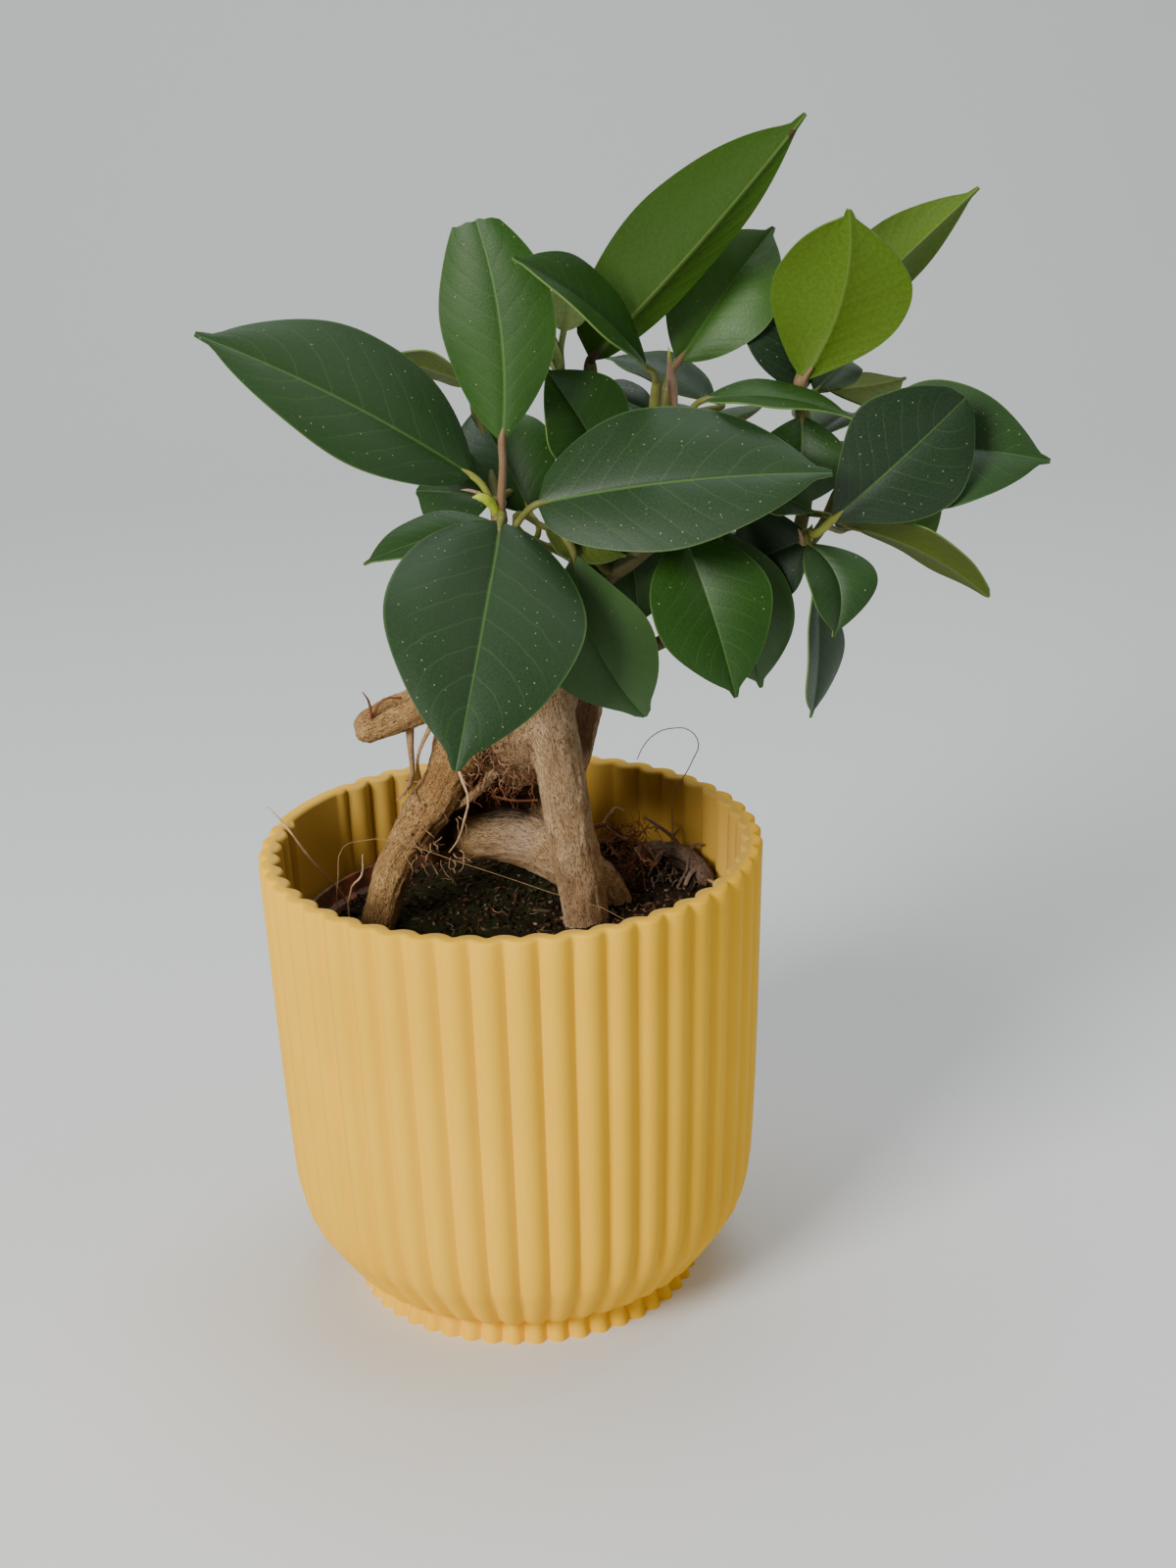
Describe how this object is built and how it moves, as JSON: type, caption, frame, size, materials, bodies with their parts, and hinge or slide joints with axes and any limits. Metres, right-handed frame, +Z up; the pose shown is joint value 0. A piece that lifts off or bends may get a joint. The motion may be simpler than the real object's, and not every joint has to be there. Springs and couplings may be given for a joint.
{
  "type": "potted ginseng ficus",
  "caption": "Ginseng ficus on swollen aerial roots, in soil in a nursery pot that stands in a fluted yellow cover pot, with leafy stems leaning to the right.",
  "frame": {"origin": "middle of the cover pot's flat underside, on the surface that the pot stands on", "axes": "+Z up along the pot's axis, -Y to the plant's front, +X to the side that the leafy stems lean to"},
  "size_m": [0.2204, 0.1483, 0.3265],
  "materials": {
    "yellow_plastic": "matte warm yellow with a very fine grain",
    "terracotta_plastic": "thin matte terracotta-coloured plastic",
    "dark_soil": "damp dark crumbly potting soil with pale crumbs",
    "pale_bark": "smooth pale bark with lengthwise streaks and dark flecks",
    "ficus_leaf": "leathery dark green upper side with a satin gloss, paler matte underside"
  },
  "bodies": {
    "root": {"cover_pot": "yellow_plastic", "nursery_pot": "terracotta_plastic", "soil": "dark_soil", "ginseng_root": "pale_bark", "surface_root": "pale_bark", "leafy_stem_left": "ficus_leaf", "leafy_stem_middle": "ficus_leaf", "leafy_stem_low": "ficus_leaf", "leafy_stem_right": "ficus_leaf"}
  },
  "joints": []
}
